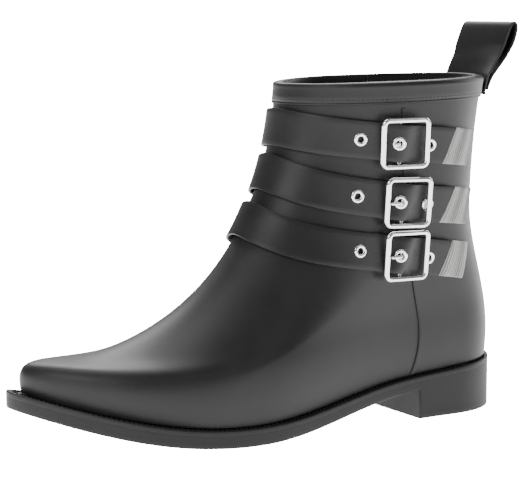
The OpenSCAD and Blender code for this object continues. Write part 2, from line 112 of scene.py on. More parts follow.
floor_paper = bpy.data.materials.new("white_paper_floor")
floor_paper.use_nodes = True
floor_paper.node_tree.nodes.clear()
path = add_node(floor_paper.node_tree, "ShaderNodeLightPath")
fibres = add_node(floor_paper.node_tree, "ShaderNodeTexNoise", {"Scale": 300.0})
tone = add_node(floor_paper.node_tree, "ShaderNodeMix",
                {0: fibres.outputs["Fac"], 6: linear("#f1f1f1"), 7: linear("#f6f6f6")}, data_type="RGBA")
paper = add_node(floor_paper.node_tree, "ShaderNodeBsdfDiffuse", {"Color": tone.outputs[2]})
glow = add_node(floor_paper.node_tree, "ShaderNodeEmission",
                {"Color": sweep_white, "Strength": seen_white - paper_lit})
shine = add_node(floor_paper.node_tree, "ShaderNodeMath",
                 {0: path.outputs["Is Glossy Ray"], 1: floor_mirrored, 2: floor_bounce}, operation="MULTIPLY_ADD")
bounce = add_node(floor_paper.node_tree, "ShaderNodeEmission",
                  {"Color": sweep_white, "Strength": shine.outputs[0]})
lift = add_node(floor_paper.node_tree, "ShaderNodeMixShader",
                {0: path.outputs["Is Camera Ray"], 1: bounce.outputs[0], 2: glow.outputs[0]})
total = add_node(floor_paper.node_tree, "ShaderNodeAddShader", {0: paper.outputs[0], 1: lift.outputs[0]})
add_node(floor_paper.node_tree, "ShaderNodeOutputMaterial", {"Surface": total.outputs[0]})

floor_mesh = bpy.data.meshes.new("floor")
floor_corners = [(x * floor_half, y * floor_half, floor_z) for x, y in ((-1, -1), (1, -1), (1, 1), (-1, 1))]
floor_mesh.from_pydata(floor_corners, [], [(0, 1, 2, 3)])
floor_mesh.materials.append(floor_paper)
floor = bpy.data.objects.new("floor", floor_mesh)
bpy.context.scene.collection.objects.link(floor)


def soft_box(name, place, size, power):
    """A soft box at place, in metres, that faces the middle of the boot; power is in watts."""
    lamp = bpy.data.objects.new(name, bpy.data.lights.new(name, "AREA"))
    lamp.data.shape = "RECTANGLE"
    lamp.data.size, lamp.data.size_y = size
    lamp.data.energy = power
    lamp.location = place
    lamp.rotation_mode = "QUATERNION"
    lamp.rotation_quaternion = (aim - Vector(place)).to_track_quat("-Z", "Y")
    bpy.context.scene.collection.objects.link(lamp)


soft_box("main_soft_box", (-1.65, -0.75, 1.1), (1.1, 0.9), 15)
soft_box("side_soft_box", (0.5, -1.35, 1.35), (1.3, 0.3), 2)
soft_box("heel_soft_box", (1.6, 0.35, 0.6), (0.4, 1.1), 10)
soft_box("overhead_soft_box", (-0.3, 0.45, 1.9), (1.6, 0.7), 14)
soft_box("rim_soft_box", (0.55, 1.45, 1.3), (1.5, 0.9), 34)


# ==== Outsole ====
# Sole and low heel moulded in one piece of black synthetic rubber, with a tread of shallow
# curved bars. The upper is vulcanised to it all round under the welt.
seat = np.array([-5.32, 1.53, 0.0])      # the boot stands centred on the origin
toe_x = -140.0
heel_x = 140.0
# The next four rows run from toe to heel at even steps.
sole_half = [43, 46, 48, 46.5, 39, 32.5, 31, 30.5]      # half width
sole_mid = [16, 4, 0, -6.5, -4.5, -1.5, -0.5, 2.5]      # y of the middle line
feather = [27.8, 16.5, 9.5, 9, 15, 22.5, 25, 29]        # height of the welt's top edge
tread = [18.5, 6.5, 0, -0.5, 6.5, 15, 17, 14]           # height of the sole's underside
toe_round = 76                # length of the rounded toe
toe_power = 1.84
heel_round = 37               # length of the rounded heel
heel_power = 2.1
heel_breast_x = 78.5          # front face of the heel
welt_h = 3.0
wall_step = 0.05              # how far the sole's wall lies inside the welt's edge
wall_lap = 4                  # how far the wall's top edge runs in under the welt
bar_pitch = 9.0               # the tread's bars
bar_depth = 2.2
bar_bow = 0.0035
weld_gap = 0.00002


def curve(values, u):
    """Uniform cubic B-spline through a row of control values; u runs from 0 to 1."""
    rows = np.asarray(values, float)
    last = len(rows) - 1
    rows = np.concatenate([[2 * rows[0] - rows[1]], rows, [2 * rows[-1] - rows[-2]]])
    place = np.clip(np.asarray(u, float), 0, 1) * last
    i = np.minimum(place.astype(int), last - 1)
    f = place - i
    if rows.ndim == 2:
        f = f[..., None]
    return (
        (1 - f) ** 3 * rows[i]
        + (3 * f**3 - 6 * f**2 + 4) * rows[i + 1]
        + (1 + 3 * f + 3 * f**2 - 3 * f**3) * rows[i + 2]
        + f**3 * rows[i + 3]
    ) / 6


def tip(v, power):
    """Rounded end of an outline: 0 at the tip, 1 from v = 1 on."""
    return np.maximum(1 - (1 - np.clip(v, 0, 1)) ** power, 0) ** (1 / power)


def mix(p, q, t):
    """p where t is 0, q where t is 1."""
    return p + (q - p) * t


def ramp(v, start, end):
    """0 before start, 1 after end, and smooth between."""
    t = np.clip((v - start) / (end - start), 0, 1)
    return t * t * (3 - 2 * t)


def along(x):
    """Share of the sole's length at x."""
    return (x - toe_x) / (heel_x - toe_x)


def sole_x(a, inset):
    """x at angle a round a sole drawn in by inset."""
    return toe_x + inset + (heel_x - toe_x - 2 * inset) * (1 - np.cos(np.radians(a))) / 2


def sole_reach(x, inset):
    """Half width of the sole, drawn in by inset."""
    return (
        (curve(sole_half, along(x)) - inset)
        * tip((x - toe_x - inset) / toe_round, toe_power)
        * tip((heel_x - inset - x) / heel_round, heel_power)
    )


def sole_edge(a, inset):
    """x and y on the sole's edge; a runs from the toe (0) along the outer side to the heel (180)."""
    x = sole_x(a, inset)
    side = np.where(np.sin(np.radians(a)) < 0, 1, -1)
    return x, curve(sole_mid, along(x)) + side * sole_reach(x, inset)


def tread_z(x):
    """Height of the underside: flat under the heel, and never below the ground."""
    return np.where(x > heel_breast_x, 0.0, np.maximum(curve(tread, along(x)), 0))


def grid_piece(name, grid, material, wrap_rows=False, wrap_columns=False, caps=(), extra=(), sharp=40):
    """A mesh object from a grid of points in millimetres, with the rows' lengths as its UV map.

    caps closes the first and last row with one face each; extra is a list of further grids.
    """
    points, faces, corners = [], [], []
    start = 0
    for part in (grid, *extra):
        part = np.asarray(part, float)
        rows, columns = part.shape[:2]
        step_v = np.linalg.norm(np.diff(part, axis=0, append=part[:1]), axis=2).mean(axis=1)
        step_u = np.linalg.norm(np.diff(part, axis=1, append=part[:, :1]), axis=2).mean(axis=0)
        v = np.concatenate([[0], np.cumsum(step_v)])
        u = np.concatenate([[0], np.cumsum(step_u)])
        for i in range(rows if wrap_rows else rows - 1):
            for j in range(columns if wrap_columns else columns - 1):
                i2, j2 = (i + 1) % rows, (j + 1) % columns
                faces.append([start + i * columns + j, start + i * columns + j2,
                              start + i2 * columns + j2, start + i2 * columns + j])
                corners += [(u[j], v[i]), (u[j + 1], v[i]), (u[j + 1], v[i + 1]), (u[j], v[i + 1])]
        for row in caps:
            ends = [start + (row % rows) * columns + j for j in range(columns)]
            faces.append(ends)
            corners += [(u[j], v[row % rows]) for j in range(columns)]
        points.append(part.reshape(-1, 3))
        start += rows * columns
    mesh = bpy.data.meshes.new(name)
    mesh.from_pydata(((np.concatenate(points) + seat) / 1000).tolist(), [], faces)
    layer = mesh.uv_layers.new(name="millimetres")
    layer.data.foreach_set("uv", np.array(corners, np.float32).ravel())
    work = bmesh.new()
    work.from_mesh(mesh)
    bmesh.ops.recalc_face_normals(work, faces=work.faces)
    work.to_mesh(mesh)
    work.free()
    mesh.shade_smooth()
    mesh.set_sharp_from_angle(angle=math.radians(sharp))
    mesh.materials.append(material)
    piece = bpy.data.objects.new(name, mesh)
    bpy.context.scene.collection.objects.link(piece)
    return piece


def stack(*rings):
    """A grid from rings of points that are all given as (x, y, z)."""
    return np.stack([np.stack(np.broadcast_arrays(*r), axis=-1) for r in rings])


bloom_mm = 45.0               # size of the cloudy patches of bloom on rubber
scuff_mm = 3.5                # size of its specks of dust and rubbing
skin_gloss = 0.34             # under the neutral 0.5, because the powdery bloom dulls the skin


def rubber(name, body, bloom, roughness, grain_mm, grain=0.12):
    """Vulcanised black rubber: a carbon-black body, a faint grey bloom, and the mould's blasted grain."""
    material = bpy.data.materials.new(name)
    material.use_nodes = True
    tree = material.node_tree
    surface = tree.nodes["Principled BSDF"]
    where = add_node(tree, "ShaderNodeTexCoord").outputs["Object"]
    cloud = add_node(tree, "ShaderNodeTexNoise",
                     {"Vector": where, "Scale": 1000 / bloom_mm, "Detail": 4.0, "Roughness": 0.6})
    scuff = add_node(tree, "ShaderNodeTexNoise",
                     {"Vector": where, "Scale": 1000 / scuff_mm, "Detail": 3.0, "Roughness": 0.7})
    blast = add_node(tree, "ShaderNodeTexNoise",
                     {"Vector": where, "Scale": 1000 / grain_mm, "Detail": 2.0, "Roughness": 0.5})
    share = add_node(tree, "ShaderNodeMapRange",
                     {"Value": cloud.outputs["Fac"], "From Min": 0.35, "From Max": 0.75})
    tint = add_node(tree, "ShaderNodeMix",
                    {0: share.outputs[0], 6: linear(body), 7: linear(bloom)}, data_type="RGBA")
    speck = add_node(tree, "ShaderNodeMapRange",
                     {"Value": scuff.outputs["Fac"], "From Min": 0.6, "From Max": 0.85,
                      "To Min": 0.0, "To Max": 0.35})
    dusted = add_node(tree, "ShaderNodeMix",
                      {0: speck.outputs[0], 6: tint.outputs[2], 7: linear(bloom)}, data_type="RGBA")
    gloss = add_node(tree, "ShaderNodeMapRange",
                     {"Value": cloud.outputs["Fac"], "From Min": 0.3, "From Max": 0.7,
                      "To Min": roughness - 0.04, "To Max": roughness + 0.05})
    skin = add_node(tree, "ShaderNodeBump",
                    {"Height": blast.outputs["Fac"], "Strength": grain, "Distance": 0.0001})
    tree.links.new(dusted.outputs[2], surface.inputs["Base Color"])
    tree.links.new(gloss.outputs[0], surface.inputs["Roughness"])
    tree.links.new(skin.outputs[0], surface.inputs["Normal"])
    surface.inputs["IOR"].default_value = 1.52
    surface.inputs["Specular IOR Level"].default_value = skin_gloss
    return material


def hand_in(piece, body, finish, *nodes):
    """The piece rides on its body and stands for its CAD nodes, which it hides; finish is not used."""
    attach(piece, body)
    if nodes:
        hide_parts(*nodes)


# Sole rubber is harder than the upper's and comes from a blasted mould: an even, dull black.
sole_rubber = rubber("moulded_sole_rubber", "#1b1a1b", "#232223", 0.55, 0.5, grain=0.2)

sole_a = np.linspace(0.5, 179.5, 620)
around = np.concatenate([sole_a, -sole_a[::-1]])
level = tread_z(sole_x(around, wall_step))
roof = curve(feather, along(sole_x(around, wall_step))) - welt_h
# Foot of the sole's wall, from the tread up: [inset from the wall, height over the tread].
wall_line = [(1.2, 0.0), (0.5, 0.15), (0.15, 0.5), (0.0, 1.0), (0.0, 2.65)]
wall = [(*sole_edge(around, wall_step + inset), level + up) for inset, up in wall_line]
foot_top = level + wall_line[-1][1]
wall += [(*sole_edge(around, wall_step), mix(foot_top, roof, t)) for t in (0.35, 0.7, 1.0)]
wall += [(*sole_edge(around, wall_step + wall_lap), roof)]


def tread_cut(x, y, edge):
    """Depth of the tread's grooves at x and y, edge millimetres away from the sole's side."""
    bow = x + bar_bow * y * y
    bar = (bow / bar_pitch) % 1
    cut = ramp(bar, 0.52, 0.60) * (1 - ramp(bar, 0.92, 1.0))
    middle = 1 - ramp(np.abs(y - curve(sole_mid, along(x))), 1.2, 2.2)
    fore = (1 - ramp(x, -6, -2)) * ramp(x, toe_x + 7, toe_x + 9)
    rear = ramp(x, heel_breast_x + 3, heel_breast_x + 4) * (1 - ramp(x, heel_x - 7, heel_x - 6))
    rim = 0.18 + 0.82 * ramp(edge, 2.5, 3.5)
    return bar_depth * np.maximum(cut * (fore + rear), 0.7 * middle * fore) * rim


foot_inset = wall_step + wall_line[0][0]
foot_x = sole_x(sole_a, foot_inset)[:, None]
share = np.sin(np.linspace(-math.pi / 2, math.pi / 2, 45))[None, :]
reach = sole_reach(foot_x, foot_inset)
foot_y = curve(sole_mid, along(foot_x)) + share * reach
foot_level = tread_z(sole_x(sole_a, wall_step))
foot_z = foot_level[:, None] + tread_cut(foot_x, foot_y, reach * (1 - np.abs(share)))
foot_z[:, 0] = foot_z[:, -1] = foot_level
underside = np.stack(np.broadcast_arrays(foot_x, foot_y, foot_z), axis=-1)
outsole = grid_piece("outsole_rubber", stack(*wall), sole_rubber, wrap_columns=True, caps=(-1,), sharp=35)
tread_face = grid_piece("outsole_tread", underside, sole_rubber, sharp=35)
joined = bmesh.new()
joined.from_mesh(outsole.data)
joined.from_mesh(tread_face.data)
bmesh.ops.remove_doubles(joined, verts=joined.verts, dist=weld_gap)
bmesh.ops.recalc_face_normals(joined, faces=joined.faces)
joined.to_mesh(outsole.data)
joined.free()
outsole.data.shade_smooth()
outsole.data.set_sharp_from_angle(angle=math.radians(35))
bpy.data.objects.remove(tread_face)
hand_in(outsole, "boot", "sole_rubber", "outsole")


# ==== Heel core, shank and insole board ====
# Inside the sole: a sawn hardwood block that fills the heel, a sprung steel shank under the arch,
# and a pressed fibre board that the upper's edge is lasted onto. All three are hidden when worn.
def plain_finish(name, dark, light, roughness, scale_mm, stretch=(1, 1, 1), metal=0.0, bump=0.2):
    """A material with one streaked or mottled pattern at a real size in millimetres."""
    material = bpy.data.materials.new(name)
    material.use_nodes = True
    tree = material.node_tree
    surface = tree.nodes["Principled BSDF"]
    where = add_node(tree, "ShaderNodeMapping",
                     {"Vector": add_node(tree, "ShaderNodeTexCoord").outputs["Object"], "Scale": stretch})
    streak = add_node(tree, "ShaderNodeTexNoise",
                      {"Vector": where.outputs[0], "Scale": 1000 / scale_mm, "Detail": 6.0, "Roughness": 0.65})
    tint = add_node(tree, "ShaderNodeMix",
                    {0: streak.outputs["Fac"], 6: linear(dark), 7: linear(light)}, data_type="RGBA")
    gloss = add_node(tree, "ShaderNodeMapRange",
                     {"Value": streak.outputs["Fac"], "To Min": roughness - 0.08, "To Max": roughness + 0.08})
    relief = add_node(tree, "ShaderNodeBump",
                      {"Height": streak.outputs["Fac"], "Strength": bump, "Distance": 0.0002})
    tree.links.new(tint.outputs[2], surface.inputs["Base Color"])
    tree.links.new(gloss.outputs[0], surface.inputs["Roughness"])
    tree.links.new(relief.outputs[0], surface.inputs["Normal"])
    surface.inputs["Metallic"].default_value = metal
    return material


def finish_node(node, material):
    """Gives a CAD solid that is shown as it is its material."""
    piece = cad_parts[node]
    piece.data.materials.clear()
    piece.data.materials.append(material)


# Sawn beech: pale, with long streaks of grain along the heel.
sawn_beech = plain_finish("sawn_beech", "#9b7648", "#c19a66", 0.6, 6, stretch=(0.2, 1, 1))
finish_node("heel_core", sawn_beech)
# Rolled spring steel: grey, with rolling lines along its length.
spring_steel = plain_finish("rolled_spring_steel", "#8b8d90", "#b4b6b9", 0.35, 1.5,
                            stretch=(0.05, 1, 1), metal=1.0, bump=0.1)
finish_node("shank", spring_steel)
# Pressed cellulose board: brown, mottled by its fibres.
fibre_board = plain_finish("pressed_fibre_board", "#8a6d48", "#b59467", 0.8, 2.5)
finish_node("insole_board", fibre_board)


# ==== Welt ====
# A rubber strip bonded round the sole's top edge. It stands out from the upper as a ledge with a
# rounded lip, and is moulded with a row of stitches, as on a sewn shoe.
# Welt rubber comes from the same kind of mould as the sole's, but takes a slightly smoother skin.
welt_rubber = rubber("moulded_welt_rubber", "#1e1d1e", "#282728", 0.5, 0.45, grain=0.14)
welt_ledge = 4.0
# Section of the welt as [inset from the edge, drop below the top edge]: the underside, the lip,
# the ledge, and the groove where the upper meets it.
welt_line = [(9, welt_h - 0.02), (0.2, welt_h - 0.02), (0.02, welt_h - 0.12), (0, welt_h - 0.4), (0, 0.9),
             (0.1, 0.4), (0.4, 0.1), (0.9, 0.0), (1.5, 0.02), (2.1, 0.1), (3.1, 0.25), (3.5, 0.7), (3.7, 1.1),
             (4.6, 1.1), (5.4, 0.3), (9, 0.2)]
welt_a = np.linspace(0, 360, 720, endpoint=False) + 0.25
welt_rows = []
for inset, drop in welt_line:
    edge_x, edge_y = sole_edge(welt_a, inset)
    welt_rows.append((edge_x, edge_y, curve(feather, along(edge_x)) - drop))
welt = grid_piece("welt", stack(*welt_rows), welt_rubber, wrap_rows=True, wrap_columns=True, sharp=50)
hand_in(welt, "boot", "welt_rubber", "welt")

stitch_pitch = 2.6
stitch_inset = 3.2
bead_sink = 0.15              # how deep a moulded stitch starts under the face it stands on


def beads(name, middles, directions, ups, length, width, height, material):
    """A row of small rounded bars, each along its direction and standing up from a face."""
    points, faces = [], []
    turns = np.radians([0, 36, 72, 108, 144, 180])
    reaches = [(-0.5, 0.25), (-0.42, 0.8), (-0.2, 1), (0.2, 1), (0.42, 0.8), (0.5, 0.25)]
    for middle, direction, up in zip(middles, directions, ups):
        side = np.cross(up, direction)
        start = len(points)
        for share, size in reaches:
            for t in turns:
                points.append(middle + direction * share * length + side * math.cos(t) * width / 2 * size
                              + up * (math.sin(t) * height * size - bead_sink))
        ring = len(turns)
        for i in range(len(reaches) - 1):
            for j in range(ring):
                k = (j + 1) % ring
                near, far = start + i * ring, start + (i + 1) * ring
                faces.append((near + j, near + k, far + k, far + j))
        faces.append(tuple(start + j for j in range(ring)))
        faces.append(tuple(start + (len(reaches) - 1) * ring + j for j in range(ring)))
    mesh = bpy.data.meshes.new(name)
    mesh.from_pydata(((np.array(points) + seat) / 1000).tolist(), [], faces)
    work = bmesh.new()
    work.from_mesh(mesh)
    bmesh.ops.recalc_face_normals(work, faces=work.faces)
    work.to_mesh(mesh)
    work.free()
    mesh.shade_smooth()
    mesh.materials.append(material)
    piece = bpy.data.objects.new(name, mesh)
    bpy.context.scene.collection.objects.link(piece)
    return piece


def evenly(points, pitch):
    """Points every pitch millimetres along a closed row of points, and the directions there."""
    loop = np.concatenate([points, points[:1]])
    length = np.concatenate([[0], np.cumsum(np.linalg.norm(np.diff(loop, axis=0), axis=1))])
    count = int(length[-1] / pitch)
    at_length = np.arange(count) * length[-1] / count
    step = 0.5
    next_length = (at_length + step) % length[-1]
    here = np.stack([np.interp(at_length, length, loop[:, k]) for k in range(3)], axis=-1)
    ahead = np.stack([np.interp(next_length, length, loop[:, k]) for k in range(3)], axis=-1)
    way = ahead - here
    return here, way / np.linalg.norm(way, axis=1)[:, None]


stitch_x, stitch_y = sole_edge(welt_a, stitch_inset)
stitch_line = np.stack([stitch_x, stitch_y, curve(feather, along(stitch_x)) - 0.1], axis=-1)
stitch_at, stitch_way = evenly(stitch_line, stitch_pitch)
upward = np.array([0.0, 0.0, 1.0])
stitch_up = upward - stitch_way * stitch_way[:, 2:3]
welt_stitches = beads("welt_stitches", stitch_at, stitch_way, stitch_up, 1.5, 1.1, 0.6, welt_rubber)
hand_in(welt_stitches, "boot", "welt_rubber")


# ==== Footbed ====
# A loose cushion of open foam, cupped round the heel and covered with a brushed black cloth. It
# lies on the insole board and can be lifted out.
def cloth(name, dark, light, thread_mm, roughness=0.9, sheen=0.3, rib=1.0):
    """A textile: two crossed sets of threads at their real spacing, with fuzz on top, and painted shade in the
    hollows of the weave.

    rib is how many crosswise threads lie in the width of one lengthwise spacing.
    """
    material = bpy.data.materials.new(name)
    material.use_nodes = True
    tree = material.node_tree
    surface = tree.nodes["Principled BSDF"]
    where = add_node(tree, "ShaderNodeUVMap", uv_map="millimetres").outputs[0]
    # A wave texture of scale 1 repeats every 2 pi / 20 units.
    scale = math.tau / 20 / thread_mm
    warp = add_node(tree, "ShaderNodeTexWave",
                    {"Vector": where, "Scale": scale, "Distortion": 0.3}, bands_direction="X")
    weft = add_node(tree, "ShaderNodeTexWave",
                    {"Vector": where, "Scale": scale * rib, "Distortion": 0.3}, bands_direction="Y")
    weave = add_node(tree, "ShaderNodeMath",
                     {0: warp.outputs["Fac"], 1: weft.outputs["Fac"]}, operation="MULTIPLY")
    fuzz = add_node(tree, "ShaderNodeTexNoise",
                    {"Vector": where, "Scale": 1.6, "Detail": 5.0, "Roughness": 0.75})
    height = add_node(tree, "ShaderNodeMath", {0: weave.outputs[0], 1: fuzz.outputs["Fac"]}, operation="ADD")
    # Painted shade: the colour runs from dark in the weave's hollows to light on its raised threads; the fuzz
    # adds random tone.
    shade = add_node(tree, "ShaderNodeMapRange",
                     {"Value": height.outputs[0], "From Min": 0.3, "From Max": 1.4})
    tint = add_node(tree, "ShaderNodeMix",
                    {0: shade.outputs[0], 6: linear(dark), 7: linear(light)}, data_type="RGBA")
    relief = add_node(tree, "ShaderNodeBump",
                      {"Height": height.outputs[0], "Strength": 0.5, "Distance": 0.0003})
    tree.links.new(tint.outputs[2], surface.inputs["Base Color"])
    tree.links.new(relief.outputs[0], surface.inputs["Normal"])
    surface.inputs["Roughness"].default_value = roughness
    surface.inputs["Sheen Weight"].default_value = sheen
    surface.inputs["Sheen Roughness"].default_value = 0.5
    return material


# Brushed cloth on foam: soft black with a grey nap.
footbed_cloth = cloth("brushed_black_cloth", "#1c1c1e", "#2f2f32", 0.9)
bed_inset = 9.9
bed_t = 3.4                   # thickness over the feather line in the middle
bed_wall = 2.4                # how much higher its cupped sides stand at the heel
bed_sink = 0.7
bed_a = np.linspace(16, 176, 110)
bed_x = sole_x(bed_a, bed_inset)[:, None]
bed_share = np.linspace(1, -1, 31)[None, :]
bed_y = curve(sole_mid, along(bed_x)) + bed_share * sole_reach(bed_x, bed_inset)
bed_cup = bed_t + bed_wall * np.abs(bed_share) ** 3 * (0.4 + 0.6 * along(bed_x))
bed_edge = ((np.abs(bed_share) - 0.93) / 0.07).clip(0)
bed_round = 0.8 * (1 - np.sqrt(np.clip(1 - bed_edge**2, 0, 1)))
bed_base = curve(feather, along(bed_x))
bed_top = np.stack(np.broadcast_arrays(bed_x, bed_y, bed_base + bed_cup - bed_round), axis=-1)
bed_under = np.stack(np.broadcast_arrays(bed_x, bed_y, bed_base - bed_sink), axis=-1)
footbed = grid_piece("footbed", np.concatenate([bed_top, bed_under[:, ::-1]], axis=1), footbed_cloth,
                     wrap_columns=True, caps=(0, -1))
hand_in(footbed, "boot", "footbed_cloth", "footbed")


# ==== Upper: vamp and quarter ====
# Two shells of matte black rubber, 2.2 mm thick and moulded over the last: the vamp covers toe
# and instep, the quarter covers heel and the back of the shaft. They meet at the side seams.
upper_t = 2.2
# Each row runs from the welt up to the collar. Front and back are the two ridge lines, as x and z.
front = [[-133, 26.2], [-134.5, 36.5], [-128.5, 44.3], [-97, 40.5], [-53, 60], [-22, 89], [-3, 122],
         [7, 152], [11.5, 179.5]]
back = [[137.5, 30], [138.5, 42], [138, 55], [135, 70], [129, 88], [123.5, 108], [124, 130],
        [126, 155], [130.5, 182]]
front_round = [85, 91, 95, 102, 99, 86, 72, 61, 53]     # length of each ring's rounded front
back_round = [27, 29, 31, 33, 36, 40, 46, 53, 63]
front_power = [1.8, 1.9, 1.9, 1.9, 1.95, 2, 2, 2, 2]
shaft_half = [40, 40, 40, 39, 38, 37, 38, 40, 43.5]     # half width of the shaft
shaft_mix = [0, 0, 0.05, 0.15, 0.4, 0.75, 1, 1, 1]      # 0 follows the sole's width, 1 the shaft's
bulge = [0, 1.5, 1, 0, 0, 0, 0, 0, 0]                   # swell over the sole's width
seam_x = [75, 80, 78.5, 72, 66, 62, 59]                 # the outer side seam


def ring(u, a):
    """Point on the upper's outside: u from the welt (0) to the collar (1), a in degrees round the boot."""
    u, a = np.broadcast_arrays(np.asarray(u, float), np.radians(a))
    f = curve(front, u)
    b = curve(back, u)
    c = (1 - np.cos(a)) / 2
    x = mix(f[..., 0], b[..., 0], c)
    front_z, back_z = curve(feather, along(f[..., 0])), curve(feather, along(b[..., 0]))
    sag = curve(feather, along(x)) - mix(front_z, back_z, c)
    z = mix(f[..., 1], b[..., 1], c) + sag * (1 - u) ** 2
    share = curve(shaft_mix, u)
    foot = curve(sole_half, along(x)) - welt_ledge + curve(bulge, u)
    half = mix(foot, curve(shaft_half, u), share)
    w = half * tip((x - f[..., 0]) / curve(front_round, u), curve(front_power, u)) \
        * tip((b[..., 0] - x) / curve(back_round, u), heel_power)
    side = np.where(np.sin(a) < 0, 1, -1)
    return np.stack([x, curve(sole_mid, along(x)) * (1 - share) + side * w, z], axis=-1)


def unit(v):
    """v at length 1."""
    return v / np.linalg.norm(v, axis=-1, keepdims=True)


def rise(u, a):
    """Direction up the surface, per step of u."""
    high, low = np.minimum(u + 0.01, 1), np.maximum(u - 0.01, 0)
    return (ring(high, a) - ring(low, a)) / np.asarray(high - low)[..., None]


def outward(u, a):
    """Direction straight out of the upper."""
    return unit(np.cross(ring(u, a + 3) - ring(u, a - 3), rise(u, a)))


def at(u, a, h):
    """Point at height h over the upper's outside."""
    u, a, h = np.broadcast_arrays(np.asarray(u, float), np.asarray(a, float), np.asarray(h, float))
    return ring(u, a) + h[..., None] * outward(u, a)


def seam_a(u):
    """Angle of the outer side seam."""
    f, b = curve(front, u)[..., 0], curve(back, u)[..., 0]
    return np.degrees(np.arccos(np.clip(1 - 2 * (curve(seam_x, u) - f) / (b - f), -1, 1)))


def spread(u, length):
    """Degrees round the boot for a length near the side seams."""
    return length / np.linalg.norm(ring(u, seam_a(u) + 0.5) - ring(u, seam_a(u) - 0.5), axis=-1)


def panel(name, material, heights, u0, u1, rows, columns, reach, wrap=False):
    """A layer of the upper between two heights; reach(u) gives the two angles that it spans."""
    u = np.linspace(u0, u1, rows)[:, None]
    first, last = reach(u)
    a = mix(first, last, np.linspace(0, 1, columns, endpoint=not wrap)[None, :])
    low, high = (at(u, a, h) for h in heights)
    if wrap:
        return grid_piece(name, np.concatenate([high, low[::-1]]), material, wrap_rows=True, wrap_columns=True)
    return grid_piece(name, np.concatenate([high, low[:, ::-1]], axis=1), material,
                      wrap_columns=True, caps=(0, -1))


# Upper rubber is softer and matt, with a fine blasted grain that spreads the light.
upper_rubber = rubber("moulded_upper_rubber", "#201f20", "#2a292a", 0.44, 0.4, grain=0.1)
vamp = panel("vamp_rubber", upper_rubber, (-upper_t, 0), 0, 1, 130, 190, lambda u: (-seam_a(u), seam_a(u)))
hand_in(vamp, "boot", "upper_rubber", "vamp")
quarter = panel("quarter_rubber", upper_rubber, (-upper_t, 0), 0, 1, 130, 90,
                lambda u: (seam_a(u), 360 - seam_a(u)))
hand_in(quarter, "boot", "upper_rubber", "quarter")


# ==== Toe puff and heel counter ====
# Two pieces of rubberised canvas, pressed between upper and lining. They keep the toe and the
# heel in shape, and are hidden in the finished boot.
# Canvas soaked in rubber: drab brown, mottled where the weave shows through.
rubberised_canvas = plain_finish("rubberised_canvas", "#4c443a", "#6e6558", 0.8, 1.2)
finish_node("toe_puff", rubberised_canvas)
finish_node("heel_counter", rubberised_canvas)


# ==== Lining ====
# A fine black jersey knit, bonded to the inside of the rubber from the insole to the collar.
lining_t = 0.9
stiffener_room = 0.9          # left between rubber and lining for the toe puff and heel counter
lining_back = -upper_t - stiffener_room
lining_face = lining_back - lining_t
# Jersey knit: flat black with fine loops, and no gloss.
knit_lining = cloth("black_jersey_knit", "#121213", "#222225", 1.1, rib=0.7)
lining = panel("knit_lining", knit_lining, (lining_face, lining_back), 0.03, 0.995, 90, 200,
               lambda u: (u * 0, u * 0 + 360), wrap=True)
hand_in(lining, "boot", "knit_lining", "lining")


# ==== Side seam strips ====
# Thin strips of rubber rolled over the seams between vamp and quarter. The one on the inner side
# is wider and thicker, because the straps' inner ends run into it.
# Trim rubber is rolled out as sheet: a little darker and smoother than the moulded upper.
trim_rubber = rubber("calendered_trim_rubber", "#1d1c1d", "#262526", 0.46, 0.45, grain=0.1)
strap_gap = 1.0               # height of the straps' undersides over the shaft
strap_t = 1.4
medial_strip_w = 12.0


def seam_strip(name, side, width, height, flare):
    """A strip with rounded edges over a side seam; side is 1 for the outer seam, -1 for the inner."""
    u = np.linspace(0.004, 0.945, 150)[:, None]
    half = 0.5 * (width + flare * (1 - ramp(u, 0.0, 0.07)))
    line = [(-1, 0.02), (-1, 0.55 * height), (-0.86, 0.9 * height), (-0.6, height), (0, height),
            (0.6, height), (0.86, 0.9 * height), (1, 0.55 * height), (1, 0.02)]
    middle = side * seam_a(u)
    cuts = [at(u, middle + share * spread(u, 1.0) * half, h) for share, h in line]
    return grid_piece(name, np.concatenate(cuts, axis=1), trim_rubber, wrap_columns=True, caps=(0, -1))


lateral_strip = seam_strip("lateral_seam_strip", 1, 2.7, 0.7, 1.2)
hand_in(lateral_strip, "boot", "trim_rubber", "lateral_seam_strip")
medial_strip = seam_strip("medial_seam_strip", -1, medial_strip_w, strap_gap + strap_t, 0)
hand_in(medial_strip, "boot", "trim_rubber", "medial_seam_strip")


# ==== Collar binding ====
# A rubber band folded over the top edge, outside and in. It ends above in a rounded bead and
# below in a hem with a moulded row of stitches.
shaft_rise = 218.0            # length up the shaft that u = 0 to 1 stands for near the collar
shaft_middle = np.array([70, 0, 0])
band_h = 9.5


def collar_spot(a, height, drop):
    """Point at a height over the upper and a drop below its top edge."""
    spot = at(1 - max(drop, 0) / shaft_rise, a, height)
    spot[..., 2] -= min(drop, 0)
    return spot


# Section of the band, as [height over the upper, drop below the top edge], from the hem outside,
# over the rim, to the hem inside, and back along the rubber.
band_line = [(0.06, band_h), (0.75, band_h), (0.98, band_h - 0.25), (1.0, band_h - 0.9),
             (0.78, band_h - 1.15), (0.8, band_h - 1.4), (1.0, band_h - 1.7), (1.0, 5), (1.0, 2.2),
             (1.06, 1.2), (1.14, 0.5), (1.1, -0.4), (0.75, -1.15), (0.1, -1.6), (-0.8, -1.85),
             (-1.8, -1.93), (-3.0, -1.88), (-4.0, -1.7), (-4.7, -1.25), (-4.95, -0.5), (-4.95, 2), (-4.95, 4.7), (-4.7, 5), (-4.15, 5), (-4.15, 2), (-4.12, 0.2),
             (-4.0, -0.05), (0.06, -0.05), (0.06, 2)]
band_a = np.linspace(0, 360, 360, endpoint=False)
band_rings = np.stack([collar_spot(band_a, h, d) for h, d in band_line])
binding = grid_piece("collar_binding", band_rings, trim_rubber,
                     wrap_rows=True, wrap_columns=True, sharp=55)
hand_in(binding, "boot", "trim_rubber", "collar_binding")
